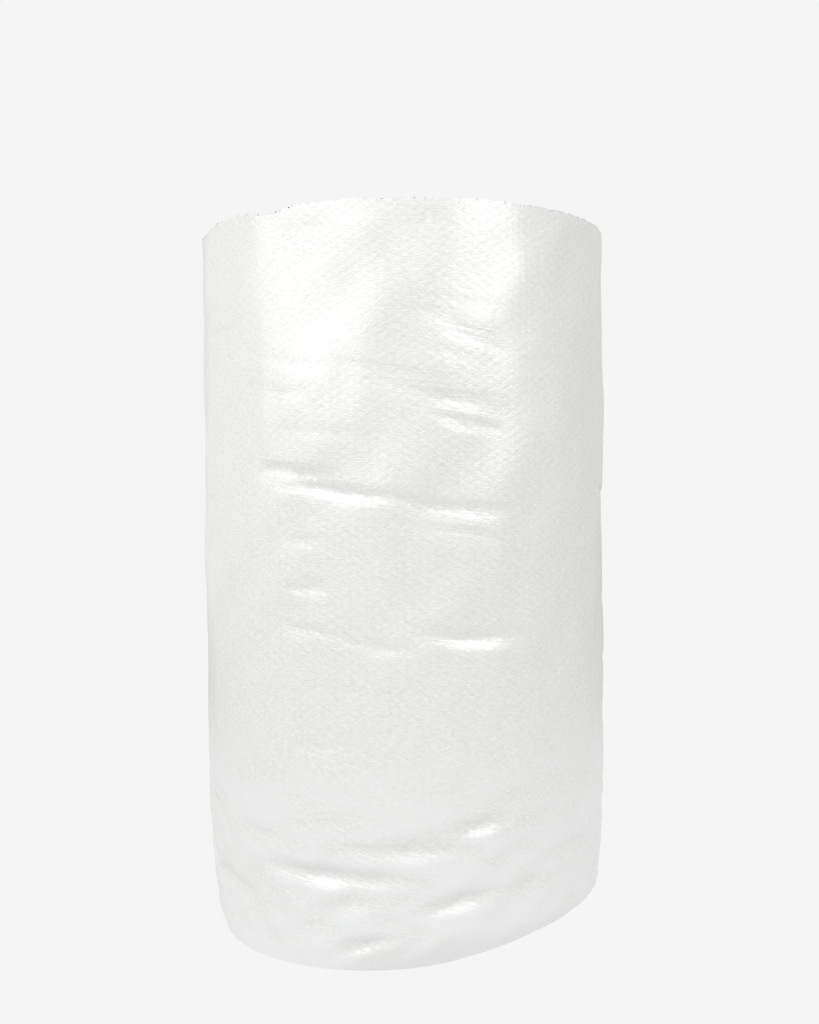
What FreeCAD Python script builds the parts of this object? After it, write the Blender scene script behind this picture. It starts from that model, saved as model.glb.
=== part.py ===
import FreeCAD, Part
import math
import os
import Sketcher

# A tall roll of clear air bubble film, wound on itself round a bare winding hole and standing on one end.
# Millimetres. +Z runs up the winding axis, the origin is where that axis meets the floor,
# and the side that is creased the most faces -Y.

NODE = "bubble_film_roll"

DRIVING_SIZES = {
    # the whole roll
    "roll_radius": 300.0,
    "roll_height": 1000.0,
    "hole_radius": 38.0,
    "film_thickness": 3.3,
    # the slight lean inwards of the lowest part of the side
    "lean_rise": 220.0,
    "lean_inset": 9.0,
    # the corner where the side turns under to the floor
    "corner_rise": 56.0,
    "corner_inset": 70.0,
    "corner_shift_left": 48.0,
    "corner_shift_front": 52.0,
    # the softened edge at the top
    "top_round": 7.0,
    # the gaps that show between groups of turns on both ends
    "gap_spacing": 30.0,
    "gap_width": 3.0,
    "gap_depth": 8.0,
    "gap_land": 10.0,
    # long shallow creases in the outer turn
    "crease_depth": 3.0,
    "crease_above": 4.0,
    "crease_below": 7.0,
    # short deeper pockets where the outer turn has folded in under a lip
    "pocket_depth": 7.0,
    "pocket_above": 5.0,
    "pocket_below": 14.0,
}

# Each fold: its name, azimuth from +X, height, half length, and rise towards the right in degrees.
CREASES = (
    ("crease_left_highest", -117, 789, 55, -8),
    ("crease_left_high", -122, 751, 63, -4),
    ("crease_right_high", -76, 735, 75, -8),
    ("crease_left_middle", -107, 632, 92, -3),
    ("crease_right_middle", -77, 601, 75, -8),
    ("crease_right_low", -72, 433, 70, -5),
    ("crease_left_low", -112, 287, 79, -1),
    ("crease_right_side", -8, 560, 90, 3),
    ("crease_back", 70, 690, 95, -4),
    ("crease_left_side", 168, 420, 90, 3),
)
POCKETS = (
    ("pocket_right_highest", -58, 219, 52, 2),
    ("pocket_right_high", -71, 186, 40, 7),
    ("pocket_left_high", -110, 181, 45, -3),
    ("pocket_left", -130, 155, 72, -1),
    ("pocket_middle", -91, 149, 88, 1),
    ("pocket_right", -37, 127, 72, -2),
    ("pocket_lens_left", -112, 116, 50, -2),
    ("pocket_low_left", -144, 84, 80, 2),
    ("pocket_low_right", -66, 92, 84, 5),
    ("pocket_right_side", 10, 168, 76, -5),
    ("pocket_back_right", 56, 142, 50, 6),
    ("pocket_back_left", 140, 176, 80, 4),
)

# How many flat bands shape the corner at the floor, the leaning side above it and the softened top edge.
CORNER_BANDS = 5
LEAN_BANDS = 3
TOP_BANDS = 2

# A fold is never turned about an axis further off than this, where it would be as good as straight.
LONGEST_TURN_RADIUS = 5000.0

document = FreeCAD.newDocument("bubble_film_roll_model")
sheet = document.addObject("Spreadsheet::Sheet", "sizes")
for row, (alias, value) in enumerate(DRIVING_SIZES.items(), start=1):
    sheet.set(f"A{row}", alias)
    sheet.set(f"B{row}", str(value))
    sheet.setAlias(f"B{row}", alias)
document.recompute()

body = document.addObject("PartDesign::Body", "roll_body")
body.Label = NODE


def size(alias):
    """A driving size as the sheet holds it."""
    return float(getattr(sheet, alias))


def bind(feature, target, formula):
    """Tie one property to the sheet. Names in the formula are the sheet's aliases in square brackets."""
    feature.setExpression(target, formula.replace("[", "sizes.").replace("]", ""))


def new_sketch(name, plane_role):
    """An empty sketch on one of the body's own planes."""
    sketch = body.newObject("Sketcher::SketchObject", name)
    plane = next(plane for plane in body.Origin.OriginFeatures if plane.Role == plane_role)
    sketch.AttachmentSupport = [(plane, "")]
    sketch.MapMode = "FlatFace"
    return sketch


def level_sketch(name, raised_by="0", moved_x="0", moved_y="0"):
    """A sketch parallel to the floor, at a height and a place that the sheet gives."""
    sketch = new_sketch(name, "XY_Plane")
    bind(sketch, ".AttachmentOffset.Base.x", moved_x)
    bind(sketch, ".AttachmentOffset.Base.y", moved_y)
    bind(sketch, ".AttachmentOffset.Base.z", raised_by)
    return sketch


def half_turn_arc(first_radius, growth, step):
    """Half circle number `step` of a flat spiral that grows by `growth` in a whole turn.

    Even steps run down the left side and odd steps run up the right side, about two centres
    on the Y axis that lie half the growth apart, so each one leaves off where the next begins.
    """
    radius = first_radius + growth / 4 + step * growth / 2
    left = step % 2 == 0
    centre = FreeCAD.Vector(0, -growth / 4 if left else growth / 4, 0)
    start = math.pi / 2 if left else -math.pi / 2
    circle = Part.Circle(centre, FreeCAD.Vector(0, 0, 1), radius)
    return Part.ArcOfCircle(circle, start, start + math.pi)


def add_spiral(sketch, first_radius, growth, steps, centres=None):
    """Add a run of half turns and fix all but its first radius. Returns the arcs and the two centres."""
    start_point, end_point, centre_point = 1, 2, 3
    root, y_axis = -1, -2
    arcs = []
    for step in range(steps):
        arcs.append(sketch.addGeometry(half_turn_arc(first_radius, growth, step), False))
    rules = []
    if centres is None:
        centres = (arcs[0], arcs[1])
        rules.append(Sketcher.Constraint("PointOnObject", arcs[0], centre_point, y_axis))
        rules.append(Sketcher.Constraint("Symmetric", arcs[0], centre_point, arcs[1], centre_point, root, 1))
    for step, arc in enumerate(arcs):
        if arc not in centres:
            rules.append(Sketcher.Constraint("Coincident", arc, centre_point, centres[step % 2], centre_point))
        if step == 0:
            rules.append(Sketcher.Constraint("PointOnObject", arc, start_point, y_axis))
        else:
            rules.append(Sketcher.Constraint("Coincident", arcs[step - 1], end_point, arc, start_point))
        rules.append(Sketcher.Constraint("PointOnObject", arc, end_point, y_axis))
    sketch.addConstraint(rules)
    return arcs, centres


def join(sketch, first_arc, first_end, second_arc, second_end):
    """Close a gap between two arc ends with a straight line."""
    line = Part.LineSegment(
        sketch.getPoint(first_arc, first_end),
        sketch.getPoint(second_arc, second_end),
    )
    edge = sketch.addGeometry(line, False)
    sketch.addConstraint(Sketcher.Constraint("Coincident", edge, 1, first_arc, first_end))
    sketch.addConstraint(Sketcher.Constraint("Coincident", edge, 2, second_arc, second_end))


def driven(sketch, name, kind, where, value, formula):
    """A named dimension of a sketch that follows the sheet."""
    index = sketch.addConstraint(Sketcher.Constraint(kind, *where, value))
    sketch.renameConstraint(index, name)
    bind(sketch, "Constraints." + name, formula)


def outer_turn_sketch(name, radius, radius_formula, raised_by, moved_x="0", moved_y="0"):
    """The roll's outline at one height: one turn of film whose free edge is a step at the back."""
    film = size("film_thickness")
    sketch = level_sketch(name, raised_by, moved_x, moved_y)
    arcs, centres = add_spiral(sketch, radius - film, film, 2)
    join(sketch, arcs[1], 2, arcs[0], 1)
    driven(sketch, "growth", "DistanceY", (arcs[0], 3, arcs[1], 3), film / 2, "[film_thickness] / 2")
    driven(sketch, "outer_radius", "Radius", (arcs[1],), radius - film / 4, radius_formula + " - [film_thickness] / 4")
    return sketch


def build_soft_edge(name, sections):
    """A loft through outlines of the outer turn, one for each section's height, inset and sideways shift."""
    sketches = [outer_turn_sketch(f"{name}_outline_{step}", *section) for step, section in enumerate(sections)]
    document.recompute()
    edge = body.newObject("PartDesign::AdditiveLoft", name)
    edge.Profile = sketches[0]
    edge.Sections = sketches[1:]
    edge.Ruled = True
    body.Tip = edge
    document.recompute()


def lean(height):
    """How far the side leans in at a height: a smooth run from the most at the floor to none."""
    share = (1 + math.cos(math.pi * min(1, height / size("lean_rise")))) / 2
    return size("lean_inset") * share


def lean_formula(height):
    """The same in the sheet's terms, for a height that is a number or a formula."""
    return f"[lean_inset] * (1 + cos(180 deg * min(1; ({height}) / [lean_rise]))) / 2"


def build_foot():
    """The leaning foot of the side and the soft corner under it, which is deeper at the right and the back."""
    sections = []
    for step in range(CORNER_BANDS):
        inward = (1 - step / CORNER_BANDS) ** 2
        height = f"[corner_rise] * {step / CORNER_BANDS}"
        lean_in = lean(size("corner_rise") * step / CORNER_BANDS)
        sections.append((
            size("roll_radius") - size("corner_inset") * inward - lean_in,
            f"[roll_radius] - [corner_inset] * {inward} - {lean_formula(height)}",
            height,
            f"-[corner_shift_left] * {inward}",
            f"-[corner_shift_front] * {inward}",
        ))
    for step in range(LEAN_BANDS + 1):
        height = f"[corner_rise] + ([lean_rise] - [corner_rise]) * {step / LEAN_BANDS}"
        lean_in = lean(size("corner_rise") + (size("lean_rise") - size("corner_rise")) * step / LEAN_BANDS)
        sections.append((
            size("roll_radius") - lean_in,
            f"[roll_radius] - {lean_formula(height)}",
            height,
        ))
    build_soft_edge("foot", sections)


def build_wall():
    """The straight side, from the leaning foot up to the softened top edge."""
    sketch = outer_turn_sketch("wall_outline", size("roll_radius"), "[roll_radius]", raised_by="[lean_rise]")
    document.recompute()
    wall = body.newObject("PartDesign::Pad", "wall")
    wall.Profile = sketch
    bind(wall, "Length", "[roll_height] - [lean_rise] - [top_round]")
    body.Tip = wall
    document.recompute()


def build_top_round():
    """The outer turns' edge at the top, a little rounded by handling."""
    sections = []
    for step in range(TOP_BANDS + 1):
        angle = 90.0 * step / TOP_BANDS
        inward = f"(1 - cos({angle} deg))"
        sections.append((
            size("roll_radius") - size("top_round") * (1 - math.cos(math.radians(angle))),
            f"[roll_radius] - [top_round] * {inward}",
            f"[roll_height] - [top_round] * (1 - sin({angle} deg))",
        ))
    build_soft_edge("top_round", sections)


def build_winding_hole():
    """The bare hole that the film was wound round."""
    sketch = level_sketch("hole_outline", raised_by="[roll_height]")
    radius = size("hole_radius")
    circle = Part.Circle(FreeCAD.Vector(0, 0, 0), FreeCAD.Vector(0, 0, 1), radius)
    index = sketch.addGeometry(circle, False)
    sketch.addConstraint(Sketcher.Constraint("Coincident", index, 3, -1, 1))
    driven(sketch, "radius", "Radius", (index,), radius, "[hole_radius]")
    document.recompute()
    hole = body.newObject("PartDesign::Pocket", "winding_hole")
    hole.Profile = sketch
    bind(hole, "Length", "[roll_height]")
    body.Tip = hole
    document.recompute()


def build_turn_gaps(name, raised_by, reach, cut_upwards):
    """A spiral gap between groups of turns, cut into one end out to the radius `reach`."""
    spacing = size("gap_spacing")
    width = size("gap_width")
    first = size("hole_radius") + size("gap_land")
    first_formula = "[hole_radius] + [gap_land] + [gap_spacing] / 4"
    steps = int((reach - first - width) / (spacing / 2))
    sketch = level_sketch(name + "_outline", raised_by)
    inner, centres = add_spiral(sketch, first, spacing, steps)
    outer, centres = add_spiral(sketch, first + width, spacing, steps, centres)
    join(sketch, inner[0], 1, outer[0], 1)
    join(sketch, inner[-1], 2, outer[-1], 2)
    driven(sketch, "growth", "DistanceY", (inner[0], 3, inner[1], 3), spacing / 2, "[gap_spacing] / 2")
    driven(sketch, "inner_radius", "Radius", (inner[0],), first + spacing / 4, first_formula)
    driven(sketch, "outer_radius", "Radius", (outer[0],), first + spacing / 4 + width, first_formula + " + [gap_width]")
    document.recompute()
    gaps = body.newObject("PartDesign::Pocket", name)
    gaps.Profile = sketch
    gaps.Reversed = cut_upwards
    bind(gaps, "Length", "[gap_depth]")
    body.Tip = gaps
    document.recompute()


def wall_sketch(name, azimuth, height, tilt):
    """A sketch across the wall: its origin on the wall, X outwards, and Y up but rolled by `tilt` about X."""
    to_free_edge = 1 - (azimuth - 90) % 360 / 360
    wall = f"([roll_radius] - [film_thickness] * {to_free_edge} - {lean_formula(height)})"
    sketch = new_sketch(name, "XZ_Plane")
    turn = FreeCAD.Rotation(FreeCAD.Vector(0, 1, 0), azimuth)
    roll = FreeCAD.Rotation(FreeCAD.Vector(1, 0, 0), tilt)
    sketch.AttachmentOffset = FreeCAD.Placement(FreeCAD.Vector(0, height, 0), turn.multiply(roll))
    bind(sketch, ".AttachmentOffset.Base.x", f"{wall} * cos({azimuth} deg)")
    bind(sketch, ".AttachmentOffset.Base.z", f"-{wall} * sin({azimuth} deg)")
    return sketch


def cut_fold(kind, name, azimuth, height, half_length, tilt):
    """A crease or a pocket: a V turned about an upright axis, so that it runs out at both ends of the fold.

    The V's mouth stands as far outside the wall as its tip goes in. A long shallow fold turns about an
    axis behind the wall and further off than the roll's own, and a short deep one about an axis in front.
    """
    depth = size(f"{kind}_depth")
    above = size(f"{kind}_above")
    below = size(f"{kind}_below")
    curve = 1 / size("roll_radius") - 2 * depth / half_length**2
    turn_radius = min(1 / abs(curve), LONGEST_TURN_RADIUS)
    turn_formula = f"abs(1 / (1 / [roll_radius] - 2 * [{kind}_depth] / {half_length}^2))"
    tip = FreeCAD.Vector(-depth, 0, 0)
    upper = FreeCAD.Vector(depth, 2 * above, 0)
    lower = FreeCAD.Vector(depth, -2 * below, 0)
    axis_foot = FreeCAD.Vector(-depth - math.copysign(turn_radius, curve), 0, 0)
    axis_head = axis_foot + FreeCAD.Vector(0, above, 0)

    sketch = wall_sketch(name + "_profile", azimuth, height, tilt)
    roof = sketch.addGeometry(Part.LineSegment(tip, upper), False)
    mouth = sketch.addGeometry(Part.LineSegment(upper, lower), False)
    ramp = sketch.addGeometry(Part.LineSegment(lower, tip), False)
    axis = sketch.addGeometry(Part.LineSegment(axis_foot, axis_head), True)
    sketch.addConstraint([
        Sketcher.Constraint("Coincident", roof, 2, mouth, 1),
        Sketcher.Constraint("Coincident", mouth, 2, ramp, 1),
        Sketcher.Constraint("Coincident", ramp, 2, roof, 1),
        Sketcher.Constraint("PointOnObject", roof, 1, -1),
        Sketcher.Constraint("Vertical", mouth),
        Sketcher.Constraint("Vertical", axis),
        Sketcher.Constraint("PointOnObject", axis, 1, -1),
    ])
    driven(sketch, "tip_inside", "DistanceX", (roof, 1, -1, 1), depth, f"[{kind}_depth]")
    driven(sketch, "mouth_outside", "DistanceX", (-1, 1, mouth, 1), depth, f"[{kind}_depth]")
    driven(sketch, "mouth_above", "DistanceY", (-1, 1, mouth, 1), 2 * above, f"2 * [{kind}_above]")
    driven(sketch, "mouth_below", "DistanceY", (mouth, 2, -1, 1), 2 * below, f"2 * [{kind}_below]")
    driven(sketch, "axis_length", "DistanceY", (axis, 1, axis, 2), above, f"[{kind}_above]")
    to_axis = (axis, 1, roof, 1) if curve > 0 else (roof, 1, axis, 1)
    driven(sketch, "turn_radius", "DistanceX", to_axis, turn_radius, f"min({turn_formula}; {LONGEST_TURN_RADIUS})")
    document.recompute()
    fold = body.newObject("PartDesign::Groove", name)
    fold.Profile = sketch
    fold.ReferenceAxis = (sketch, ["Axis0"])
    fold.Angle = 360
    body.Tip = fold


build_foot()
build_wall()
build_top_round()
build_winding_hole()
build_turn_gaps(
    "turn_gaps_top",
    raised_by="[roll_height]",
    reach=size("roll_radius") - size("top_round") - size("gap_land"),
    cut_upwards=False,
)
floor_radius = size("roll_radius") - size("lean_inset") - size("corner_inset")
floor_shift = math.hypot(size("corner_shift_left"), size("corner_shift_front"))
floor_reach = floor_radius - floor_shift - size("gap_land")
build_turn_gaps("turn_gaps_bottom", raised_by="0", reach=floor_reach, cut_upwards=True)
for crease in CREASES:
    cut_fold("crease", *crease)
for pocket in POCKETS:
    cut_fold("pocket", *pocket)
document.recompute()

for item in document.Objects:
    if {"Invalid", "Error"} & set(item.State):
        raise RuntimeError(f"{item.Label} failed: {item.State}")
solid = body.Shape
if solid.isNull() or not solid.isValid() or len(solid.Solids) != 1:
    raise RuntimeError(f"{NODE} isn't one valid solid")
for feature in body.Group:
    removes = feature.TypeId in ("PartDesign::Pocket", "PartDesign::Groove")
    if removes and not feature.Shape.Volume < feature.BaseFeature.Shape.Volume:
        raise RuntimeError(f"{feature.Label} cuts nothing")

os.makedirs("parts", exist_ok=True)
solid.exportStep(f"parts/{NODE}.step")
print(NODE, "volume", round(solid.Volume / 1e9, 5), "cubic metres, box", solid.BoundBox)
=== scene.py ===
import math

import bpy
import numpy as np
from mathutils import Matrix


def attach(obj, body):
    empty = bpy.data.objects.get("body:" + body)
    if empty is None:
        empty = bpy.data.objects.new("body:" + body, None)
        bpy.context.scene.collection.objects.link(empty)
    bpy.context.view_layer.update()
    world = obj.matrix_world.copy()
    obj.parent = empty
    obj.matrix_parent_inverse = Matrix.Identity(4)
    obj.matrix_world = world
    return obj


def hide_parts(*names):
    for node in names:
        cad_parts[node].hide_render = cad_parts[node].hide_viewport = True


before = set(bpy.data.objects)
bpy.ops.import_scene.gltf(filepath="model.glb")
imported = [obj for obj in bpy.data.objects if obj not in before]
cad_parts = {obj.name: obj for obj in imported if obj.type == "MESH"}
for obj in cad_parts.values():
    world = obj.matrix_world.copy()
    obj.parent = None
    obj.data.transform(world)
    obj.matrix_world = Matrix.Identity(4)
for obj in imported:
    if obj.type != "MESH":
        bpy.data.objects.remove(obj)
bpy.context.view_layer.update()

NODE = "bubble_film_roll"
BODY = "root"

# Sizes in millimetres, as the part's source has them.
ROLL_RADIUS = 300.0
ROLL_HEIGHT = 1000.0
HOLE_RADIUS = 38.0
FILM = 3.3
LEAN_RISE = 220.0
LEAN_INSET = 9.0
CORNER_RISE = 56.0
CORNER_INSET = 70.0
CORNER_LEFT = 48.0
CORNER_FRONT = 52.0

# The bubbles: 10 mm across in a hexagonal lattice, in columns that stand half a pitch apart.
PITCH = 11.8
BUBBLE_RADIUS = 5.0
DOME_HEIGHT = 0.10
COLUMNS = 184
STRAIGHT_ROWS = 72
FOOT_ROWS = 16
ROWS = STRAIGHT_ROWS + FOOT_ROWS
COLUMN_STEP = 2 * math.pi * ROLL_RADIUS / COLUMNS
FOOT_START = ROLL_HEIGHT - STRAIGHT_ROWS * PITCH

# A dome's middle ring of points: its share of the bubble's radius, and of the dome's height.
INNER_RING = 0.6
INNER_HEIGHT = 0.72

# How far the film sinks between bubbles, how many bubbles are flat, and how much of a dome those keep.
VALLEY_DEPTH = 0.04
FLAT_SHARE = 0.05
FLAT_PUFF = 0.15

# The rim's ragged teeth: how many to a column of bubbles, and how far they go up and down, in rows.
RIM_TEETH = 3
TOOTH_SIZE = 0.13

# The haze of the loose film near the floor: where it ends, and over what height it fades.
HAZE_TOP = 330.0
HAZE_FADE = 170.0

MM = 0.001
rng = np.random.default_rng(7)


# The outer turn's smooth form.

def lean(z):
    return LEAN_INSET * (1 + np.cos(np.pi * np.clip(z / LEAN_RISE, 0, 1))) / 2


def corner_inset_at(azimuth):
    """How far the corner draws the wall in at each azimuth."""
    toward = CORNER_LEFT * np.cos(azimuth) + CORNER_FRONT * np.sin(azimuth)
    return np.maximum(CORNER_INSET + toward, 0.5)


def corner_run(inset, w):
    """Length along the corner's curve from its top down to the share w."""
    k = 2 * inset
    root = np.sqrt(CORNER_RISE**2 + (k * w) ** 2)
    return (w * root + CORNER_RISE**2 / k * np.arcsinh(k * w / CORNER_RISE)) / 2


def height_and_share(azimuth, v):
    """Height over the floor and the corner's share of its inset for a place v rows below the rim."""
    straight = ROLL_HEIGHT - PITCH * v
    inset = corner_inset_at(azimuth)
    corner_length = corner_run(inset, 1.0)
    above_corner = FOOT_START - CORNER_RISE
    run = (v - STRAIGHT_ROWS) / FOOT_ROWS * (above_corner + corner_length)
    down = np.clip(run - above_corner, 0, corner_length)
    w = down / corner_length
    for _ in range(5):
        slope = np.sqrt(CORNER_RISE**2 + (2 * inset * w) ** 2)
        w = np.clip(w - (corner_run(inset, w) - down) / slope, 0, 1)
    foot = np.where(run < above_corner, FOOT_START - run, CORNER_RISE * (1 - w))
    z = np.where(v <= STRAIGHT_ROWS, straight, foot)
    share = np.where(v <= STRAIGHT_ROWS, 0.0, w**2)
    return z, share


def wall_point(azimuth, v):
    """A point of the smooth outer turn, for an azimuth that runs on from the free edge at the back."""
    z, share = height_and_share(azimuth, v)
    turned = (azimuth - math.pi / 2) / (2 * math.pi)
    radius = ROLL_RADIUS - FILM * (1 - turned) - lean(z) - CORNER_INSET * share
    x = -CORNER_LEFT * share + radius * np.cos(azimuth)
    y = -CORNER_FRONT * share + radius * np.sin(azimuth)
    return np.stack([x, y, z], -1)


def wall_normal(azimuth, v):
    step_a, step_v = 0.002, 0.02
    along = wall_point(azimuth + step_a, v) - wall_point(azimuth - step_a, v)
    down = wall_point(azimuth, v + step_v) - wall_point(azimuth, v - step_v)
    normal = np.cross(down, along)
    return normal / np.linalg.norm(normal, axis=-1, keepdims=True)


# Folds and creases.

# Seen folds: azimuth in degrees, height, half length, tilt in degrees, depth, extent above, extent below.
SEEN_FOLDS = (
    (-74, 840, 66, -15, 0.8, 8, 8),
    (-71, 822, 58, -18, 0.9, 8, 8),
    (-78, 806, 50, -14, 0.5, 7, 8),
    (-118, 797, 66, -9, 0.8, 6, 9),
    (-92, 783, 120, -9, 0.6, 7, 9),
    (-124, 760, 64, -5, 1.0, 7, 10),
    (-82, 757, 100, -8, 1.1, 9, 9),
    (-76, 742, 84, -9, 1.6, 9, 10),
    (-74, 717, 58, -11, 1.7, 9, 10),
    (-110, 706, 90, -4, 0.5, 7, 9),
    (-119, 654, 72, -3, 3.1, 9, 9),
    (-106, 629, 132, -7, 2.7, 8, 9),
    (-77, 606, 86, -5, 2.9, 9, 11),
    (-78, 578, 70, -9, 1.0, 8, 9),
    (-116, 566, 40, -1, 1.0, 7, 8),
    (-115, 501, 40, -1, 1.5, 7, 8),
    (-113, 512, 30, -2, 1.0, 6, 7),
    (-118, 449, 30, -8, 1.3, 7, 8),
    (-108, 444, 84, -11, 1.2, 6, 7),
    (-94, 428, 46, -4, 1.6, 7, 8),
    (-73, 441, 90, -2, 4.7, 10, 12),
    (-74, 462, 40, -2, 1.5, 7, 8),
    (-112, 298, 86, 2, 1.2, 10, 13),
    (-58, 224, 52, 4, 2.0, 12, 12),
    (-71, 192, 52, 8, 5.4, 10, 11),
    (-110, 194, 50, 2, 1.8, 12, 12),
    (-130, 166, 74, -2, 2.0, 13, 15),
    (-90, 163, 104, -1, 4.9, 12, 13),
    (-37, 137, 70, 2, 2.4, 13, 15),
    (-110, 127, 130, -1, 8.6, 12, 13),
    (-142, 80, 100, -6, 2.6, 15, 16),
    (-100, 97, 72, 5, 2.0, 14, 14),
    (-77, 93, 74, 9, 6.0, 11, 12),
    (-57, 101, 64, 7, 2.0, 11, 12),
    (-114, 55, 36, 5, 1.5, 11, 10),
    (-99, 41, 50, 12, 5.4, 10, 11),
)


SEEN_FROM = -150.0
SEEN_TO = -28.0

# The height under which a seen fold presses the film against the turn under it.
TIGHT_BELOW = 320.0


def fold_list():
    """The seen folds, and fainter unseen ones of the same kind all round the roll."""
    folds = [tuple(fold) + (1.0 if fold[1] < TIGHT_BELOW else 0.0,) for fold in SEEN_FOLDS]
    for azimuth, height, half, tilt, depth, above, below in SEEN_FOLDS:
        for _ in range(3):
            side = rng.uniform(-0.6, 0.6) * half
            folds.append((azimuth + math.degrees(side / ROLL_RADIUS),
                          height + side * math.tan(math.radians(tilt)) + rng.uniform(-12, 10),
                          rng.uniform(0.35, 0.65) * half, tilt + rng.uniform(-6, 6),
                          rng.uniform(0.12, 0.26) * min(depth, 3), 0.6 * above, 0.55 * below, 0.0))
    for _ in range(150):
        azimuth = rng.uniform(-180, 180)
        height = rng.uniform(12, 300)
        seen = SEEN_FROM < azimuth < SEEN_TO
        depth = rng.uniform(0.3, 1.0) if seen else rng.uniform(0.8, 3.4) * (1.25 - height / 400)
        folds.append((azimuth, height, rng.uniform(26, 80), rng.uniform(-17, 17), depth,
                      rng.uniform(7, 12), rng.uniform(10, 17), rng.uniform(0.2, 0.9)))
    for _ in range(90):
        azimuth = rng.uniform(-180, 180)
        seen = SEEN_FROM < azimuth < SEEN_TO
        depth = rng.uniform(0.2, 0.55) if seen else rng.uniform(0.5, 2.2)
        folds.append((azimuth, rng.uniform(300, 940), rng.uniform(30, 90), rng.uniform(-11, 7), depth,
                      rng.uniform(4, 7), rng.uniform(10, 16), 0.0))
    return folds


def fold_field(azimuth, z):
    """The folds' push outwards in millimetres, and where the film lies tight and where it is creased."""
    total = np.zeros_like(z)
    tight = np.zeros_like(z)
    creased = np.zeros_like(z)
    for az, height, half, tilt, depth, above, below, hold in FOLDS:
        turn = (azimuth - math.radians(az) + math.pi) % (2 * math.pi) - math.pi
        arc = turn * ROLL_RADIUS
        near = (np.abs(arc) < half) & (np.abs(z - height) < half * 0.45 + 4 * below)
        if not near.any():
            continue
        a = arc[near] / half
        sag = -0.10 * half * (a**2 - 0.3)
        t = z[near] - height - arc[near] * math.tan(math.radians(tilt)) + sag * 0.25
        t = t + 0.8 * np.sin(arc[near] / 15 + az) + 0.5 * np.sin(arc[near] / 6.5 + 2 * az)
        reach = np.where(t > 0, above, below)
        ends = np.cos(a * math.pi / 2) ** 1.3
        total[near] -= depth * ends * np.exp(-((t / reach) ** 2))
        lens = (reach + 1) * np.sqrt(np.clip(1 - a**2, 0, 1)) + 0.5
        tight[near] = np.maximum(tight[near], hold * np.exp(-(np.abs(t / lens) ** 2.6)))
        creased[near] += min(depth, 2.0) * ends * np.exp(-((t / (1.8 * below)) ** 2))
    return total, tight, np.clip(creased / 1.5, 0, 1)


# The slack's waves: which part of the height they take in, how many, their lobes round the roll, and
# their length up the roll and their size in millimetres.
WAVES = (
    ("all", 14, (3, 15), (160, 420), (0.10, 0.30)),
    ("all", 12, (16, 40), (60, 260), (0.05, 0.14)),
    ("low", 10, (14, 34), (55, 95), (0.12, 0.30)),
    ("high", 7, (7, 18), (110, 240), (0.25, 0.50)),
)

# The azimuth of a stretch at the upper left where the film is flattened, and rounded below that.
FLAT_STRETCH = -112.0


def slow_waves(azimuth, z):
    """The outer turn's slack: long shallow waves, more of them near the floor."""
    total = np.zeros_like(z)
    local = np.random.default_rng(21)
    parts = {
        "all": 1.0,
        "low": np.clip((300 - z) / 220, 0, 1),
        "high": np.clip((z - 330) / 150, 0, 1),
    }
    for part, count, lobe_range, length_range, size_range in WAVES:
        for _ in range(count):
            lobes = local.integers(*lobe_range)
            slant = local.choice((-1, 1)) if part == "low" else local.uniform(-1, 1)
            rise = slant * 2 * math.pi / local.uniform(*length_range)
            phase = local.uniform(0, 2 * math.pi)
            size = parts[part] * local.uniform(*size_range)
            total += size * np.sin(lobes * azimuth + rise * z + phase)
    turn = (np.degrees(azimuth) - FLAT_STRETCH + 180) % 360 - 180
    flattened = np.exp(-((turn / 15) ** 2)) * np.exp(-(((z - 885) / 85) ** 2))
    rounded = np.exp(-(((turn + 2) / 13) ** 2)) * np.exp(-(((z - 745) / 75) ** 2))
    total += 2.2 * rounded - 2.9 * flattened
    return total


FOLDS = fold_list()


# The outer turn's bubbles.

def hexagon_cells():
    """Points and faces of the whole lattice, with u in columns and v in rows below the rim.

    Each point also has its bubble's number, or 0 between bubbles, and its share of the dome's height.
    """
    ring = np.arange(6) * math.pi / 3
    corner_u = 2 / 3 * np.cos(ring)
    corner_v = np.round(np.sin(ring) / math.sin(math.pi / 3)) * 0.5
    ring_u = BUBBLE_RADIUS / COLUMN_STEP * np.cos(ring)
    ring_v = BUBBLE_RADIUS / PITCH * np.sin(ring)
    points, kinds, faces, columns = [], [], [], []
    corners = {}

    def corner(u, v):
        key = (round(u * 3), round(v * 4))
        if key not in corners:
            corners[key] = len(points)
            points.append((u, v))
            kinds.append((0, 0.0))
        return corners[key]

    cell = 0
    for column in range(-1, COLUMNS + 1):
        odd = column % 2
        for row in range(-1, ROWS + 1):
            u0 = column + 0.5
            v0 = row + (0.75 if odd else 0.25)
            if v0 < -0.6 or v0 > ROWS + 0.6:
                continue
            cell += 1
            first = len(points)
            points.append((u0, v0))
            kinds.append((cell, 1.0))
            for i in range(6):
                points.append((u0 + INNER_RING * ring_u[i], v0 + INNER_RING * ring_v[i]))
                kinds.append((cell, INNER_HEIGHT))
            for i in range(6):
                points.append((u0 + ring_u[i], v0 + ring_v[i]))
                kinds.append((cell, 0.0))
            outer = [corner(u0 + corner_u[i], v0 + corner_v[i]) for i in range(6)]
            for i in range(6):
                j = (i + 1) % 6
                a, b = first + 1 + i, first + 1 + j
                c, d = first + 7 + i, first + 7 + j
                faces += [(first, a, b), (a, c, d), (a, d, b), (c, outer[i], outer[j]), (c, outer[j], d)]
            columns += [column] * (len(faces) - len(columns))
    return np.array(points), np.array(kinds), np.array(faces), np.array(columns), cell


def smooth_noise(places, seed, lobes):
    """A gentle periodic random wave of places round the roll."""
    local = np.random.default_rng(seed)
    total = np.zeros_like(places)
    for k in lobes:
        total += local.uniform(-1, 1) * np.sin(k * places + local.uniform(0, 2 * math.pi))
    return total / math.sqrt(len(lobes))


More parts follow.
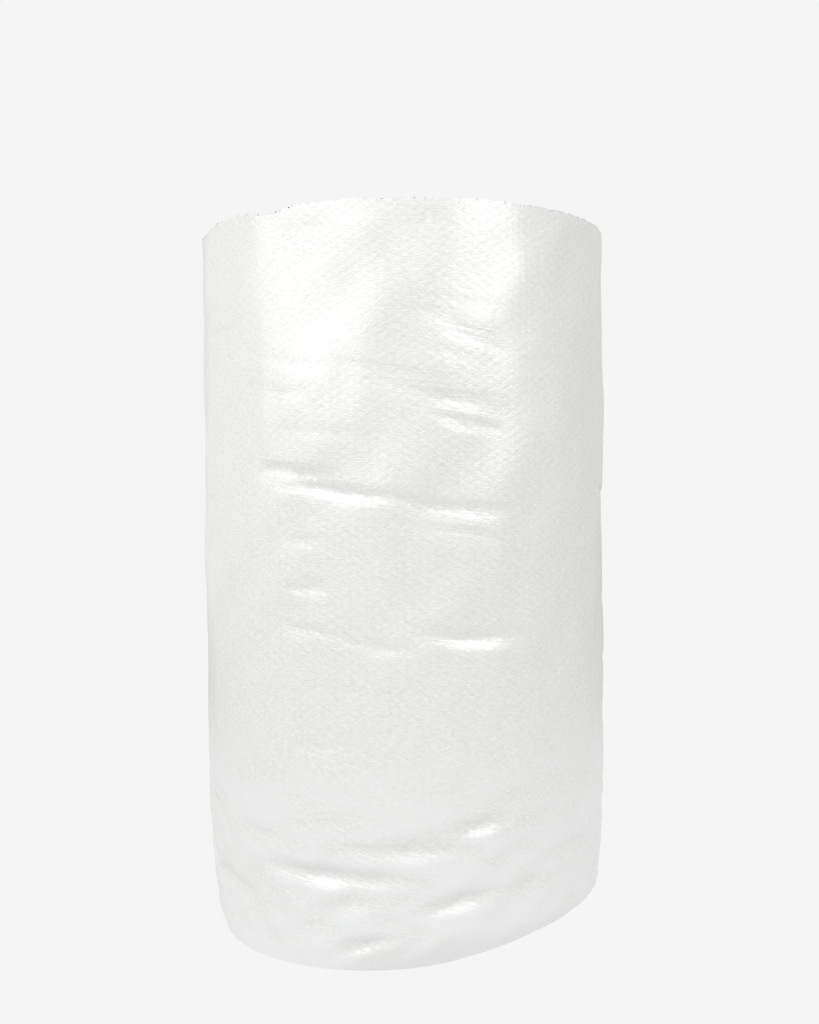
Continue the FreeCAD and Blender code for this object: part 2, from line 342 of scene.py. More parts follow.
def rim_drop(azimuth):
    """How far the rim sags below the roll's height, in rows: most at two loose stretches at the left."""
    turn = (np.degrees(azimuth) + 180) % 360 - 180
    loose = np.exp(-(((turn + 126) / 6) ** 2))
    corner = np.exp(-(((turn + 160) / 9) ** 2))
    raised = np.exp(-(((turn + 60) / 40) ** 2))
    return 0.60 * loose + 0.60 * corner - 0.08 * raised + 0.08 * smooth_noise(azimuth, 5, range(3, 19))


def outer_turn():
    points, kinds, faces, columns, cells = hexagon_cells()
    u = np.clip(points[:, 0], 0, COLUMNS)
    azimuth = math.pi / 2 + u * 2 * math.pi / COLUMNS
    teeth = np.random.default_rng(3).uniform(-TOOTH_SIZE, TOOTH_SIZE, COLUMNS * RIM_TEETH + 4)
    rim = teeth[np.clip(np.round(u * RIM_TEETH).astype(int), 0, COLUMNS * RIM_TEETH)]
    rim = rim + rim_drop(azimuth)
    v = np.clip(points[:, 1], rim, ROWS)
    base = wall_point(azimuth, np.maximum(v, 0))
    base[:, 2] += np.where(v < 0, -v * PITCH, 0)
    normal = wall_normal(azimuth, np.clip(v, 0.03, ROWS - 0.03))

    cell_rng = np.random.default_rng(11)
    puff = cell_rng.uniform(0.55, 1.2, cells + 1)
    flat = cell_rng.random(cells + 1) < FLAT_SHARE
    puff[flat] = FLAT_PUFF
    z = base[:, 2]
    fold, tight, creased = fold_field(azimuth, z)
    foot = np.clip((HAZE_TOP - z) / HAZE_FADE, 0, 1)
    haze_wave = 0.5 + 0.5 * np.tanh(1.6 * smooth_noise(azimuth + z / 160, 31, range(5, 30)))
    haze = np.clip(foot * (0.50 + 0.50 * haze_wave) - 0.85 * tight, 0, 1)
    height = DOME_HEIGHT * kinds[:, 1] * puff[kinds[:, 0].astype(int)] * (1 - 0.55 * haze)
    height = np.where(kinds[:, 0] == 0, -VALLEY_DEPTH, height)
    near_floor = np.clip(z / 25, 0, 1)
    near_rim = np.clip((ROLL_HEIGHT - z) / 30, 0.2, 1)
    push = (fold + slow_waves(azimuth, z)) * near_floor * near_rim + height * near_floor
    place = base + normal * push[:, None]
    place[:, 2] = np.maximum(place[:, 2], 0.0)
    return place, faces, columns, np.stack([u, v], -1), {"haze": haze, "creased": creased}


def face_normals(place, faces):
    a, b, c = place[faces[:, 0]], place[faces[:, 1]], place[faces[:, 2]]
    return np.cross(b - a, c - a)


def vertex_normals(place, faces):
    flat = face_normals(place, faces)
    total = np.zeros_like(place)
    for k in range(3):
        np.add.at(total, faces[:, k], flat)
    length = np.linalg.norm(total, axis=1, keepdims=True)
    return total / np.maximum(length, 1e-12)


def make_object(name, place, faces, material, normals=None, film=None, values=None):
    """A mesh object from arrays in millimetres, with its normals, film coordinates and attributes."""
    used, renumbered = np.unique(faces, return_inverse=True)
    faces = renumbered.reshape(faces.shape)
    mesh = bpy.data.meshes.new(name)
    mesh.vertices.add(len(used))
    mesh.vertices.foreach_set("co", (place[used] * MM).astype(np.float32).ravel())
    sides = faces.shape[1]
    mesh.loops.add(faces.size)
    mesh.loops.foreach_set("vertex_index", faces.astype(np.int32).ravel())
    mesh.polygons.add(len(faces))
    mesh.polygons.foreach_set("loop_start", np.arange(0, faces.size, sides, dtype=np.int32))
    mesh.polygons.foreach_set("loop_total", np.full(len(faces), sides, dtype=np.int32))
    mesh.update(calc_edges=True)
    mesh.polygons.foreach_set("use_smooth", np.ones(len(faces), bool))
    if film is not None:
        layer = mesh.uv_layers.new(name="film")
        layer.data.foreach_set("uv", film[used][faces.ravel()].astype(np.float32).ravel())
    for key, value in (values or {}).items():
        attribute = mesh.attributes.new(key, "FLOAT", "POINT")
        attribute.data.foreach_set("value", value[used].astype(np.float32))
    if normals is not None:
        mesh.normals_split_custom_set_from_vertices(normals[used].tolist())
    mesh.materials.append(material)
    piece = bpy.data.objects.new(name, mesh)
    bpy.context.scene.collection.objects.link(piece)
    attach(piece, BODY)
    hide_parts(NODE)


def build_outer_turn(material):
    place, faces, columns, film, values = outer_turn()
    area = np.linalg.norm(face_normals(place, faces), axis=1)
    faces, columns = faces[area > 1e-4], columns[area > 1e-4]
    out = face_normals(place, faces)
    middle = place[faces].mean(1)
    middle[:, 2] = 0
    if (out * middle).sum() < 0:
        faces = faces[:, ::-1]
    normals = vertex_normals(place, faces)
    third = COLUMNS / 3
    for name, low, high in (
        ("outer_turn_left_back", -5, third),
        ("outer_turn_front", third, 2 * third),
        ("outer_turn_right_back", 2 * third, COLUMNS + 5),
    ):
        part = faces[(columns >= low) & (columns < high)]
        make_object(name, place, part, material, normals, film, values)


# The ends, the hole and the free edge.

# Across one turn's edge: share of the film's thickness, and depth below the end. The first two points
# are the flat layer, and the fourth is on the cut bubbles.
RIBBON = np.array([
    (0.00, 5.2),
    (0.05, 0.0),
    (0.26, 2.8),
    (0.78, 0.7),
    (1.03, 4.4),
])
FLAT_POINTS = (0, 1)
BUBBLE_POINT = 3

# The turns whose whole edges show at the top, and the depth of the bottom under the edges, a sheet dark
# with painted shade.
WHOLE_TURNS = 77
TOP_BACKING = 14.0
FOOT_BACKING = 5.0

# The distance between stations along the spiral, and after how many of them its wander changes.
STATION_STEP = 3.93
SLOW_STATIONS = 60

# Between bubbles the inner layer draws back by this share of the film, and drops by this many
# millimetres. The last turns at the top lie this far under the rim.
SCALLOP_BULGE = 0.28
SCALLOP_DROP = 1.4
RIM_DEPTH = 2.5


def spiral(first, last):
    """Stations along the wound film: azimuth counted on from the free edge's side, and inner radius."""
    turns = (last - first) / FILM
    station_az = [0.0]
    while station_az[-1] < turns * 2 * math.pi:
        radius = first + FILM * station_az[-1] / (2 * math.pi)
        station_az.append(station_az[-1] + STATION_STEP / radius)
    az = np.array(station_az[:-1])
    return az, first + FILM * az / (2 * math.pi)


def end_ribbon(first, last, level, sign, seed):
    """The edges of the turns at one end, as a ribbon five points across that runs along the spiral."""
    az, radius = spiral(first, last)
    local = np.random.default_rng(seed)
    length = np.cumsum(np.append(0, np.diff(az) * radius[1:]))
    scallop = 0.5 + 0.5 * np.cos(2 * math.pi * length / PITCH)
    marks = np.arange(0, len(az) + SLOW_STATIONS, SLOW_STATIONS)
    slow = np.interp(np.arange(len(az)), marks, local.uniform(-1, 1, len(marks)))
    turns = np.arange(first - 4, last + 8, FILM)
    turn_level = np.interp(radius, turns, local.uniform(-1.0, 0.3, len(turns)))
    rows = []
    for i, (share, depth) in enumerate(RIBBON):
        bulge = 0.0
        drop = depth
        if i == BUBBLE_POINT:
            bulge = -SCALLOP_BULGE * FILM * (1 - scallop)
            drop = depth + SCALLOP_DROP * (1 - scallop) + local.uniform(-0.3, 0.5, len(az))
        if i in FLAT_POINTS:
            drop = depth + local.uniform(-0.15, 0.35, len(az))
        r = radius + share * FILM + bulge + 0.25 * slow
        angle = az + math.pi / 2
        height = level - sign * (drop - turn_level - 0.5 * slow)
        if sign > 0:
            outermost = np.clip((r - ROLL_RADIUS + 70) / 60, 0, 1)
            height = height - outermost * (RIM_DEPTH + PITCH * rim_drop(angle))
        rows.append(np.stack([r * np.cos(angle), r * np.sin(angle), height], -1))
    grid = np.stack(rows, 1)
    count = len(az)
    across = len(RIBBON)
    base = np.arange(count - 1)[:, None] * across + np.arange(across - 1)[None, :]
    quads = np.stack([base, base + 1, base + across + 1, base + across], -1).reshape(-1, 4)
    if sign < 0:
        quads = quads[:, ::-1]
    uv = np.stack([np.repeat(length / COLUMN_STEP, across),
                   np.tile(RIBBON[:, 0], count)], -1)
    # The depth below the end, which the edge material turns into painted shade.
    edge = np.tile(np.clip(RIBBON[:, 1] / 3.4, 0, 1.2), count)
    return grid.reshape(-1, 3), quads, uv, edge


def painted_shade_bottom(level, sign, depth, inner, outer, centre):
    """The bottom that closes the gaps between the turns' edges: a sheet dark with painted shade."""
    sides = 96
    i = np.arange(sides)
    j = (i + 1) % sides
    angle = i * 2 * math.pi / sides
    around = np.stack([np.cos(angle), np.sin(angle)], -1)
    z = np.full((sides, 1), level - sign * depth)
    place = np.concatenate([
        np.hstack([inner * around, z]),
        np.hstack([outer * around + np.array(centre), z]),
    ])
    faces = np.concatenate([np.stack([i, i + sides, j + sides], -1), np.stack([i, j + sides, j], -1)])
    return place, faces if sign > 0 else faces[:, ::-1]


def build_end(name, material, last, level, sign, seed, reach, backing, outer, centre):
    """One end: the turns' edges within a circle of radius `reach`, over a bottom of radius `outer` that is
    dark with painted shade.
    """
    place, quads, uv, depth = end_ribbon(HOLE_RADIUS + 0.4, last, level, sign, seed)
    if sign < 0:
        place[:, 2] = np.maximum(place[:, 2], 0.0)
    middle = place[quads].mean(1)
    quads = quads[np.hypot(middle[:, 0] - centre[0], middle[:, 1] - centre[1]) < reach]
    triangles = np.concatenate([quads[:, [0, 1, 2]], quads[:, [0, 2, 3]]])
    ring, ring_faces = painted_shade_bottom(level, sign, backing, HOLE_RADIUS + 0.2, outer, centre)
    triangles = np.concatenate([triangles, ring_faces + len(place)])
    place = np.concatenate([place, ring])
    uv = np.concatenate([uv, np.zeros((len(ring), 2))])
    # The bottom takes the darkest painted shade.
    depth = np.append(depth, np.full(len(ring), 1.3))
    make_object(name, place, triangles, material, None, uv, {"depth": depth})


def build_ends(material):
    last = HOLE_RADIUS + 0.4 + WHOLE_TURNS * FILM
    build_end("top_end", material, last, level=ROLL_HEIGHT - 0.6, sign=1, seed=41, reach=ROLL_RADIUS,
              backing=TOP_BACKING, outer=ROLL_RADIUS - FILM - 0.4, centre=(0.0, 0.0))
    reach = ROLL_RADIUS - CORNER_INSET - LEAN_INSET - FILM - 1.5
    build_end("bottom_end", material, ROLL_RADIUS - 8, level=0.0, sign=-1, seed=43, reach=reach,
              backing=FOOT_BACKING, outer=reach + 1.8, centre=(-CORNER_LEFT, -CORNER_FRONT))


# Down over the second turn's rim, in millimetres: inset from its face, and drop below its top.
SECOND_PROFILE = np.array([
    (3.0, 2.4),
    (1.4, 0.4),
    (0.1, 0.0),
    (0.0, 0.5),
    (0.0, 3.0),
    (0.0, 8.0),
])


def build_second_turn(material):
    """The top of the next turn in, which shows where the outer turn's rim sags."""
    around = COLUMNS * 2
    insets, drops = SECOND_PROFILE.T
    u = np.arange(around + 1) / 2
    uu, drop = np.meshgrid(u, drops)
    inset = np.repeat(insets[:, None], around + 1, 1)
    azimuth = math.pi / 2 + uu * 2 * math.pi / COLUMNS
    teeth = np.random.default_rng(61).uniform(-0.5, 0.5, around + 1)[None, :] * np.exp(-drop / 4)
    radius = ROLL_RADIUS - FILM * (1.6 - uu / COLUMNS) - inset
    height = ROLL_HEIGHT - 1.2 - drop + teeth - PITCH * rim_drop(azimuth)
    place = np.stack([radius * np.cos(azimuth), radius * np.sin(azimuth), height], -1)
    index = np.arange(uu.size).reshape(uu.shape)
    a, b, c, d = index[:-1, :-1], index[:-1, 1:], index[1:, 1:], index[1:, :-1]
    quads = np.stack([a, d, c, b], -1).reshape(-1, 4)
    uv = np.stack([uu.ravel(), drop.ravel() / PITCH], -1)
    # Painted shade: the second turn darkens as it drops below its top.
    depth = np.clip(drop.ravel() / 3.4, 0, 1)
    make_object("second_turn", place.reshape(-1, 3), quads, material, None, uv, {"depth": depth})


# The innermost turn: columns of bubbles round the hole, and the height and radius of their domes.
HOLE_COLUMNS = 24
HOLE_DOME = 0.9
HOLE_BUBBLE = 5.2


def build_hole_wall(material):
    """The innermost turn, whose bubbles face the hole."""
    around = HOLE_COLUMNS * 4
    rows = int(ROLL_HEIGHT / PITCH * 2)
    u = np.arange(around) / around * HOLE_COLUMNS
    z = np.linspace(0.8, ROLL_HEIGHT - 1.0, rows)
    uu, zz = np.meshgrid(u, z)
    v = zz / PITCH
    even = np.hypot(((uu + 1) % 2 - 1) * COLUMN_STEP, ((v + 0.5) % 1 - 0.5) * PITCH)
    odd = np.hypot((uu % 2 - 1) * COLUMN_STEP, (v % 1 - 0.5) * PITCH)
    distance = np.minimum(even, odd)
    bump = HOLE_DOME * np.sqrt(np.clip(1 - (distance / HOLE_BUBBLE) ** 2, 0, 1))
    radius = HOLE_RADIUS + 0.5 - bump
    azimuth = uu / HOLE_COLUMNS * 2 * math.pi
    place = np.stack([radius * np.cos(azimuth), radius * np.sin(azimuth), zz], -1).reshape(-1, 3)
    index = np.arange(rows * around).reshape(rows, around)
    a = index[:-1]
    b = np.roll(index, -1, 1)[:-1]
    c = np.roll(index, -1, 1)[1:]
    d = index[1:]
    quads = np.stack([a, d, c, b], -1).reshape(-1, 4)
    uv = np.stack([uu.ravel(), v.ravel()], -1)
    make_object("hole_wall", place, quads, material, None, uv, {"haze": np.full(len(place), 0.2)})


# Across the cut edge, from its flat layer inwards: share of the film's thickness, how far it stands out,
# and whether the cut bubbles scallop it.
CUT_PROFILE = (
    (0.00, -0.6, False),
    (0.02, 0.9, False),
    (0.14, 1.0, False),
    (0.30, 0.1, True),
    (0.75, 0.2, True),
    (1.00, -0.8, False),
)


def build_free_edge(material):
    """The cut edge of the film at the back: the flat layer outside, and the bubbles' cut sides under it."""
    v = np.linspace(0.05, ROWS - 0.1, ROWS * 4)
    fading = np.clip((ROWS - v) / 5, 0.0, 1.0)
    azimuth = np.full_like(v, math.pi / 2)
    outside = wall_point(azimuth + 2 * math.pi, v)
    inside = wall_point(azimuth, v)
    normal = wall_normal(azimuth, np.clip(v, 0.03, ROWS - 0.03))
    local = np.random.default_rng(51)
    wave = 0.5 + 0.5 * np.cos(2 * math.pi * v)
    rows = []
    for share, out, scalloped in CUT_PROFILE:
        point = outside + (inside - outside) * share
        shift = out
        if scalloped:
            point = point + normal * (0.5 * (1 - wave))[:, None]
            shift = out + 0.9 * wave
        shift = (shift + local.uniform(-0.1, 0.1, len(v))) * fading
        point[:, 0] -= shift
        rows.append(point)
    grid = np.stack(rows, 1)
    across = len(rows)
    base = np.arange(len(v) - 1)[:, None] * across + np.arange(across - 1)[None, :]
    quads = np.stack([base, base + across, base + across + 1, base + 1], -1).reshape(-1, 4)
    uv = np.stack([np.tile(np.linspace(0, 0.3, across), len(v)), np.repeat(v, across)], -1)
    make_object("free_edge", grid.reshape(-1, 3), quads, material, None, uv,
                {"haze": np.full(grid.size // 3, 0.3)})


# Materials.

# The film's colour runs between FILM_SHADE and FILM_LIGHT with its bubble pattern, random mottle and
# painted glints; FILM_HAZE is the milky loose film.
FILM_SHADE = (0.62, 0.618, 0.603, 1.0)
FILM_LIGHT = (1.0, 0.997, 0.98, 1.0)
FILM_HAZE = (0.85, 0.855, 0.872, 1.0)
# The edges' colour is painted shade, from EDGE_LIGHT at the flat film to EDGE_SHADE deep between the
# bubbles and on the bottom.
EDGE_SHADE = (0.56, 0.565, 0.57, 1.0)
EDGE_LIGHT = (0.98, 0.98, 0.975, 1.0)


class Graph:
    """A small helper to lay out a material's nodes."""

    def __init__(self, name):
        self.material = bpy.data.materials.new(name)
        self.material.use_nodes = True
        self.tree = self.material.node_tree
        self.tree.nodes.clear()

    def node(self, kind, **settings):
        made = self.tree.nodes.new(kind)
        for key, value in settings.items():
            setattr(made, key, value)
        return made

    def link(self, source, target):
        self.tree.links.new(source, target)

    def feed(self, socket, value):
        if isinstance(value, bpy.types.NodeSocket):
            self.link(value, socket)
        else:
            socket.default_value = value

    def math(self, operation, a, b, c=None, clamp=False):
        made = self.node("ShaderNodeMath", operation=operation, use_clamp=clamp)
        self.feed(made.inputs[0], a)
        self.feed(made.inputs[1], b)
        if c is not None:
            self.feed(made.inputs[2], c)
        return made.outputs[0]

    def vector(self, operation, a, b=None):
        made = self.node("ShaderNodeVectorMath", operation=operation)
        self.feed(made.inputs[0], a)
        if b is not None:
            self.feed(made.inputs[1], b)
        return made.outputs["Value"] if operation == "LENGTH" else made.outputs["Vector"]

    def total(self, *parts):
        """The sum of values, each given with its weight."""
        value, weight = parts[0]
        summed = self.math("MULTIPLY", value, weight)
        for value, weight in parts[1:]:
            summed = self.math("MULTIPLY_ADD", value, weight, summed)
        return summed

    def noise(self, vector, scale, detail, roughness):
        made = self.node("ShaderNodeTexNoise")
        self.feed(made.inputs["Vector"], vector)
        made.inputs["Scale"].default_value = scale
        made.inputs["Detail"].default_value = detail
        made.inputs["Roughness"].default_value = roughness
        return made.outputs["Fac"]

    def strokes(self, place, tilt, along, across):
        """Noise drawn out into strokes `along` by `across` millimetres that slope by `tilt`."""
        lines = self.node("ShaderNodeMapping", vector_type="POINT")
        self.link(place, lines.inputs["Vector"])
        lines.inputs["Rotation"].default_value = (0.0, 0.0, tilt)
        drawn_out = self.vector("MULTIPLY", lines.outputs["Vector"], (1 / along, 1 / across, 1.0))
        return self.math("SUBTRACT", self.noise(drawn_out, 1.0, 2.0, 0.6), 0.5)

    def remap(self, value, low, high, to_low=0.0, to_high=1.0):
        made = self.node("ShaderNodeMapRange", interpolation_type="SMOOTHSTEP")
        self.feed(made.inputs["Value"], value)
        self.feed(made.inputs["From Min"], low)
        self.feed(made.inputs["From Max"], high)
        self.feed(made.inputs["To Min"], to_low)
        self.feed(made.inputs["To Max"], to_high)
        return made.outputs["Result"]

    def mix(self, factor, a, b):
        made = self.node("ShaderNodeMix", data_type="RGBA")
        self.feed(made.inputs["Factor"], factor)
        self.feed(made.inputs["A"], a)
        self.feed(made.inputs["B"], b)
        return made.outputs["Result"]

    def bubble_distance(self, film):
        """Distance in millimetres from the nearest bubble's centre, for a place in columns and rows."""
        near = []
        for shift in ((0.5, 0.25, 0.0), (1.5, 0.75, 0.0)):
            moved = self.vector("SUBTRACT", film, shift)
            wrapped = self.node("ShaderNodeVectorMath", operation="WRAP")
            self.link(moved, wrapped.inputs[0])
            wrapped.inputs[1].default_value = (1.0, 0.5, 1.0)
            wrapped.inputs[2].default_value = (-1.0, -0.5, -1.0)
            scaled = self.vector("MULTIPLY", wrapped.outputs["Vector"], (COLUMN_STEP, PITCH, 0.0))
            near.append(self.vector("LENGTH", scaled))
        return self.math("MINIMUM", *near)


def film_material():
    """Clear film over bubbles over many more turns: milky inside, glossy and finely creased outside."""
    g = Graph("clear_bubble_film")
    film = g.node("ShaderNodeUVMap", uv_map="film").outputs["UV"]
    place = g.node("ShaderNodeTexCoord").outputs["Object"]
    haze = g.node("ShaderNodeAttribute", attribute_name="haze").outputs["Fac"]
    clear = g.math("SUBTRACT", 1.0, haze, clamp=True)

    # Where this turn's bubbles and their rims are, and those of the turn under it.
    distance = g.bubble_distance(film)
    inside = g.remap(distance, 5.3, 4.5)
    ring = g.math("SUBTRACT", g.remap(distance, 5.6, 5.0), g.remap(distance, 4.9, 4.2), clamp=True)

    turned = g.node("ShaderNodeMapping", vector_type="POINT")
    g.link(film, turned.inputs["Vector"])
    turned.inputs["Scale"].default_value = (0.9891, 1.0, 1.0)
    turned.inputs["Location"].default_value = (0.35, 0.31, 0.0)
    turned.inputs["Rotation"].default_value = (0.0, 0.0, 0.012)
    under_distance = g.bubble_distance(turned.outputs["Vector"])
    under_inside = g.remap(under_distance, 5.4, 4.2)

    # The film's fine creases: level and slanted strokes, long streaks in the folds, and a wide hatch. In
    # the colour the level and slanted strokes are painted glints, bright and dark streaks along the
    # creases.
    flat = g.vector("MULTIPLY", film, (COLUMN_STEP, PITCH, 0.0))
    mottle = g.math("SUBTRACT", g.noise(place, 420.0, 2.0, 0.55), 0.5)
    slow = g.math("SUBTRACT", g.noise(place, 9.0, 2.0, 0.5), 0.5)
    leaning = g.remap(g.noise(place, 7.0, 1.0, 0.5), 0.42, 0.58)
    level_strokes = g.strokes(flat, 0.04, 9.0, 1.8)
    rising = g.math("MULTIPLY", g.strokes(flat, 0.62, 10.0, 1.9), leaning)
    falling = g.math("MULTIPLY", g.strokes(flat, -0.62, 10.0, 1.9), g.math("SUBTRACT", 1.0, leaning))
    slanted = g.math("ADD", rising, falling)
    creased = g.node("ShaderNodeAttribute", attribute_name="creased").outputs["Fac"]
    streaks = g.math("MULTIPLY", g.strokes(flat, -0.14, 60.0, 4.6), creased)
    hatch = g.math("ADD", g.strokes(flat, 0.62, 46.0, 5.6), g.strokes(flat, -0.62, 46.0, 5.6))

    # The colour's tone: the bubbles' outlines, random mottle and hatch, and painted glints from the level
    # and slanted strokes.
    shade = g.total((inside, 0.025), (ring, -0.04), (under_inside, 0.02), (mottle, 0.30),
                    (level_strokes, 0.70), (slanted, 0.80), (hatch, 0.17))
    shade = g.math("MULTIPLY", shade, g.math("MULTIPLY_ADD", clear, 0.6, 0.4))
    shade = g.math("MULTIPLY_ADD", slow, 0.05, shade)
    level = g.math("ADD", shade, 0.5, clamp=True)
    colour = g.mix(level, FILM_SHADE, FILM_LIGHT)
    colour = g.mix(g.math("MULTIPLY", haze, 0.8), colour, FILM_HAZE)

    height = g.total((ring, -0.03), (under_inside, 0.02), (mottle, 0.08), (level_strokes, 0.30),
                     (slanted, 0.26))
    height = g.math("MULTIPLY", height, g.math("MULTIPLY_ADD", clear, 0.75, 0.25))
    height = g.math("MULTIPLY_ADD", hatch, 0.16, height)
    height = g.math("MULTIPLY_ADD", streaks, 0.65, height)
    bump = g.node("ShaderNodeBump")
    bump.inputs["Strength"].default_value = 1.0
    bump.inputs["Distance"].default_value = 0.001
    g.link(height, bump.inputs["Height"])

    surface = g.node("ShaderNodeBsdfPrincipled")
    g.link(colour, surface.inputs["Base Color"])
    g.link(bump.outputs["Normal"], surface.inputs["Normal"])
    surface.inputs["Roughness"].default_value = 0.3
    surface.inputs["IOR"].default_value = 1.85
    surface.inputs["Coat Weight"].default_value = 1.0
    surface.inputs["Coat Roughness"].default_value = 0.17
    surface.inputs["Coat IOR"].default_value = 2.3
    g.link(bump.outputs["Normal"], surface.inputs["Coat Normal"])
    output = g.node("ShaderNodeOutputMaterial")
    g.link(surface.outputs["BSDF"], output.inputs["Surface"])
    return g.material


def edge_material():
    """The cut edges of the turns at both ends: pale at the flat film, with painted shade darker down
    between the bubbles and on the bottom under them.
    """
    g = Graph("film_edges")
    place = g.node("ShaderNodeTexCoord").outputs["Object"]
    depth = g.node("ShaderNodeAttribute", attribute_name="depth").outputs["Fac"]
    mottle = g.noise(place, 300.0, 2.0, 0.6)
    slow = g.noise(place, 14.0, 2.0, 0.5)
    # Painted shade: the deeper below the end, the darker.
    level = g.math("MULTIPLY_ADD", depth, -0.65, 0.85)
    level = g.math("MULTIPLY_ADD", g.math("SUBTRACT", mottle, 0.5), 0.35, level)
    level = g.math("MULTIPLY_ADD", g.math("SUBTRACT", slow, 0.5), 0.2, level, clamp=True)
    colour = g.mix(level, EDGE_SHADE, EDGE_LIGHT)
    bump = g.node("ShaderNodeBump")
    bump.inputs["Strength"].default_value = 0.5
    bump.inputs["Distance"].default_value = 0.001
    g.link(mottle, bump.inputs["Height"])
    surface = g.node("ShaderNodeBsdfPrincipled")
    g.link(colour, surface.inputs["Base Color"])
    g.link(bump.outputs["Normal"], surface.inputs["Normal"])
    g.link(g.remap(mottle, 0.3, 0.7, 0.25, 0.45), surface.inputs["Roughness"])
    surface.inputs["Coat Weight"].default_value = 0.5
    surface.inputs["Coat Roughness"].default_value = 0.2
    output = g.node("ShaderNodeOutputMaterial")
    g.link(surface.outputs["BSDF"], output.inputs["Surface"])
    return g.material


# Studio.

# The tone that the camera sees all round, and the brightness of the studio and of its ceiling.
BACKGROUND = 0.913
STUDIO_LEVEL = 0.867
CEILING = 0.72

# The floor: its side in metres, its glow near and far, and the distances between which the glow fades.
FLOOR_SIDE = 60.0
FLOOR_NEAR = 0.81
FLOOR_FAR = 0.63
GLOW_START = 0.8
GLOW_END = 2.4

# The softboxes: azimuth in degrees, distance, low and high edge, width in metres, and power in watts.
SOFTBOXES = (
    ("softbox_left", -139, 1.35, 0.93, 2.10, 1.45, 2.4),
    ("softbox_left_fade", -139, 1.35, 0.70, 0.93, 1.45, 0.45),
    ("softbox_right", -46.5, 1.45, 1.04, 2.20, 0.75, 2.2),
    ("softbox_right_fade", -46.5, 1.45, 0.84, 1.04, 0.75, 0.30),
)

# The camera: distance and height in millimetres, its turns in degrees, and its focal length in the
# photo's pixels.
CAMERA_AWAY = 1816.3
CAMERA_HEIGHT = 648.3
CAMERA_PITCH = 1.724
CAMERA_YAW = 0.275
CAMERA_ROLL = -0.482
FOCAL_PIXELS = 1191.6
PHOTO_HEIGHT = 1024
SENSOR_HEIGHT = 36.0


def build_camera():
    """The photograph's view, worked out from the roll's outline."""
    pitch = math.radians(CAMERA_PITCH)
    yaw = math.radians(CAMERA_YAW)
    roll = math.radians(CAMERA_ROLL)
    forward = np.array([math.sin(yaw) * math.cos(pitch), math.cos(yaw) * math.cos(pitch), -math.sin(pitch)])
    right = np.array([math.cos(yaw), -math.sin(yaw), 0.0])
    up = np.array([math.sin(yaw) * math.sin(pitch), math.cos(yaw) * math.sin(pitch), math.cos(pitch)])
    turned_right = right * math.cos(roll) + up * math.sin(roll)
    turned_up = up * math.cos(roll) - right * math.sin(roll)
    data = bpy.data.cameras.new("camera")
    data.sensor_fit = "VERTICAL"
    data.sensor_height = SENSOR_HEIGHT
    data.lens = FOCAL_PIXELS / PHOTO_HEIGHT * SENSOR_HEIGHT
    data.clip_end = 100.0
    camera = bpy.data.objects.new("camera", data)
    bpy.context.scene.collection.objects.link(camera)
    place = np.eye(4)
    place[:3, 0] = turned_right
    place[:3, 1] = turned_up
    place[:3, 2] = -forward
    place[:3, 3] = (0.0, -CAMERA_AWAY * MM, CAMERA_HEIGHT * MM)
    camera.matrix_world = Matrix(place.tolist())
    bpy.context.scene.camera = camera


def softbox(name, azimuth, distance, low, high, width, power):
    """An upright area light that faces the roll's axis."""
    data = bpy.data.lights.new(name, "AREA")
    data.shape = "RECTANGLE"
    data.size = width
    data.size_y = high - low
    data.energy = power
    light = bpy.data.objects.new(name, data)
    light.visible_camera = False
    bpy.context.scene.collection.objects.link(light)
    angle = math.radians(azimuth)
    light.location = (distance * math.cos(angle), distance * math.sin(angle), (low + high) / 2)
    light.rotation_euler = (math.pi / 2, 0.0, angle + math.pi / 2)


def world_patch(tree, direction, toward, start, stop, change):
    """A soft-edged patch of the surroundings about one direction, as an amount to add to its brightness."""
    azimuth, elevation = (math.radians(angle) for angle in toward)
    dot = tree.nodes.new("ShaderNodeVectorMath")
    dot.operation = "DOT_PRODUCT"
    tree.links.new(direction, dot.inputs[0])
    dot.inputs[1].default_value = (
        math.cos(azimuth) * math.cos(elevation),
        math.sin(azimuth) * math.cos(elevation),
        math.sin(elevation),
    )
    patch = tree.nodes.new("ShaderNodeMapRange")
    patch.interpolation_type = "SMOOTHSTEP"
    tree.links.new(dot.outputs["Value"], patch.inputs["Value"])
    patch.inputs["From Min"].default_value = start
    patch.inputs["From Max"].default_value = stop
    patch.inputs["To Min"].default_value = 0.0
    patch.inputs["To Max"].default_value = change
    return patch.outputs["Result"]


def combine(tree, operation, first, second):
    made = tree.nodes.new("ShaderNodeMath")
    made.operation = operation
    for socket, value in zip(made.inputs, (first, second)):
        if isinstance(value, bpy.types.NodeSocket):
            tree.links.new(value, socket)
        else:
            socket.default_value = value
    return made.outputs[0]


def seen_flat(tree, seen, lit, output):
    """The camera sees one flat tone, and everything else is lit by the other."""
    path = tree.nodes.new("ShaderNodeLightPath")
    choose = tree.nodes.new("ShaderNodeMixShader")
    seen.inputs["Color"].default_value = (BACKGROUND, BACKGROUND, BACKGROUND, 1.0)
    tree.links.new(path.outputs["Is Camera Ray"], choose.inputs[0])
    tree.links.new(lit.outputs[0], choose.inputs[1])
    tree.links.new(seen.outputs[0], choose.inputs[2])
    tree.links.new(choose.outputs[0], output.inputs["Surface"])


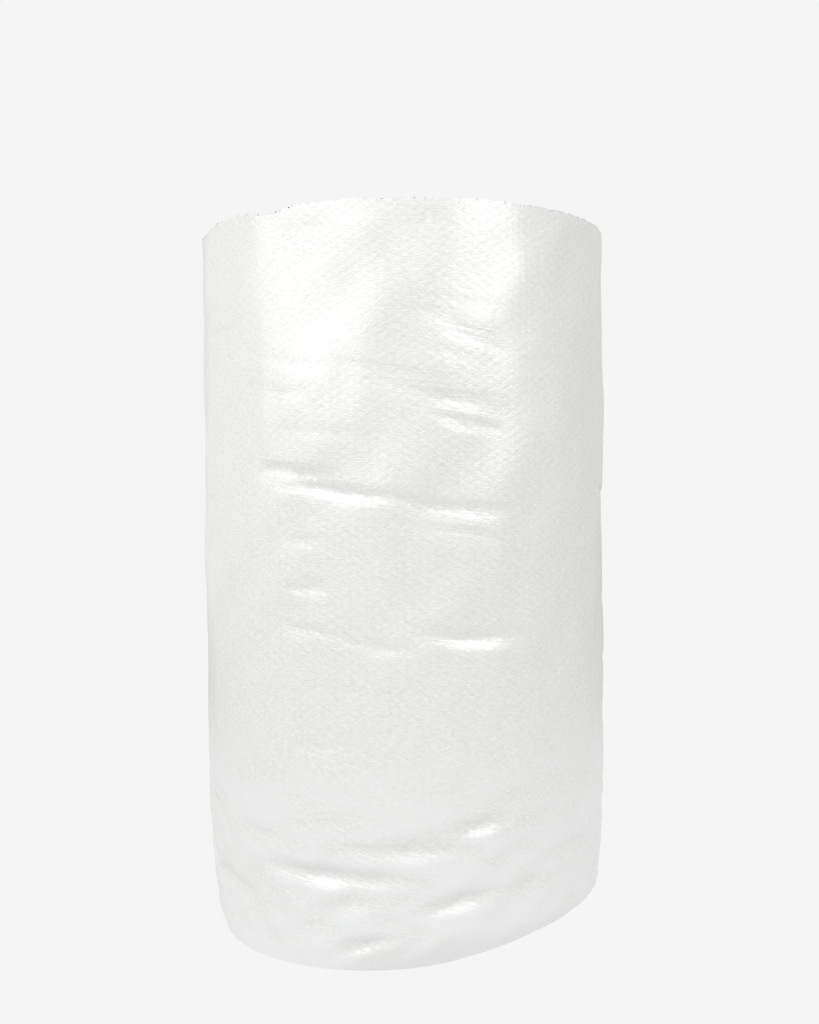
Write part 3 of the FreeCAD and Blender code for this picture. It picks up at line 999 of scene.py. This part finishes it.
def build_world():
    """A white studio with a bright ceiling in front, darker to the right; the camera sees one pale tone."""
    world = bpy.data.worlds.new("studio")
    bpy.context.scene.world = world
    world.use_nodes = True
    tree = world.node_tree
    tree.nodes.clear()
    output = tree.nodes.new("ShaderNodeOutputWorld")
    seen = tree.nodes.new("ShaderNodeBackground")
    around = tree.nodes.new("ShaderNodeBackground")
    seen_flat(tree, seen, around, output)

    direction = tree.nodes.new("ShaderNodeTexCoord").outputs["Generated"]
    total = STUDIO_LEVEL
    # Patches of the surroundings: azimuth and elevation, where each starts and is full, and its change.
    for toward, start, stop, change in (
        ((175, 0), 0.0, 0.9, 0.23),
        ((25, 0), 0.875, 1.0, -0.14),
        ((-90, 0), 0.5, 1.0, 0.22),
    ):
        total = combine(tree, "ADD", total, world_patch(tree, direction, toward, start, stop, change))
    above = world_patch(tree, direction, (0, 90), 0.22, 0.36, CEILING)
    front = world_patch(tree, direction, (-95, 30), 0.25, 0.75, 1.0)
    total = combine(tree, "ADD", total, combine(tree, "MULTIPLY", above, front))
    tree.links.new(total, around.inputs["Strength"])


def build_floor():
    """A pale floor like a studio's paper sweep. The camera sees one tone, and its glow fades outwards."""
    material = bpy.data.materials.new("studio_floor")
    material.use_nodes = True
    tree = material.node_tree
    tree.nodes.clear()
    output = tree.nodes.new("ShaderNodeOutputMaterial")
    seen = tree.nodes.new("ShaderNodeEmission")
    glow = tree.nodes.new("ShaderNodeEmission")
    seen_flat(tree, seen, glow, output)
    where = tree.nodes.new("ShaderNodeTexCoord").outputs["Object"]
    away = tree.nodes.new("ShaderNodeVectorMath")
    away.operation = "LENGTH"
    tree.links.new(where, away.inputs[0])
    fade = tree.nodes.new("ShaderNodeMapRange")
    fade.interpolation_type = "SMOOTHSTEP"
    tree.links.new(away.outputs["Value"], fade.inputs["Value"])
    fade.inputs["From Min"].default_value = GLOW_START
    fade.inputs["From Max"].default_value = GLOW_END
    fade.inputs["To Min"].default_value = FLOOR_NEAR
    fade.inputs["To Max"].default_value = FLOOR_FAR
    lighter = world_patch(tree, where, (150, 0), 1.5, 6.0, 0.24)
    strength = combine(tree, "ADD", fade.outputs["Result"], lighter)
    tree.links.new(strength, glow.inputs["Strength"])
    mesh = bpy.data.meshes.new("floor")
    half = FLOOR_SIDE / 2
    corners = [(-half, -half, 0), (half, -half, 0), (half, half, 0), (-half, half, 0)]
    mesh.from_pydata(corners, [], [(0, 1, 2, 3)])
    mesh.materials.append(material)
    floor = bpy.data.objects.new("floor", mesh)
    bpy.context.scene.collection.objects.link(floor)


film = film_material()
edges = edge_material()
build_outer_turn(film)
build_ends(edges)
build_second_turn(edges)
build_hole_wall(film)
build_free_edge(film)
build_camera()
build_world()
build_floor()
for settings in SOFTBOXES:
    softbox(*settings)
bpy.context.scene.view_settings.view_transform = "Standard"
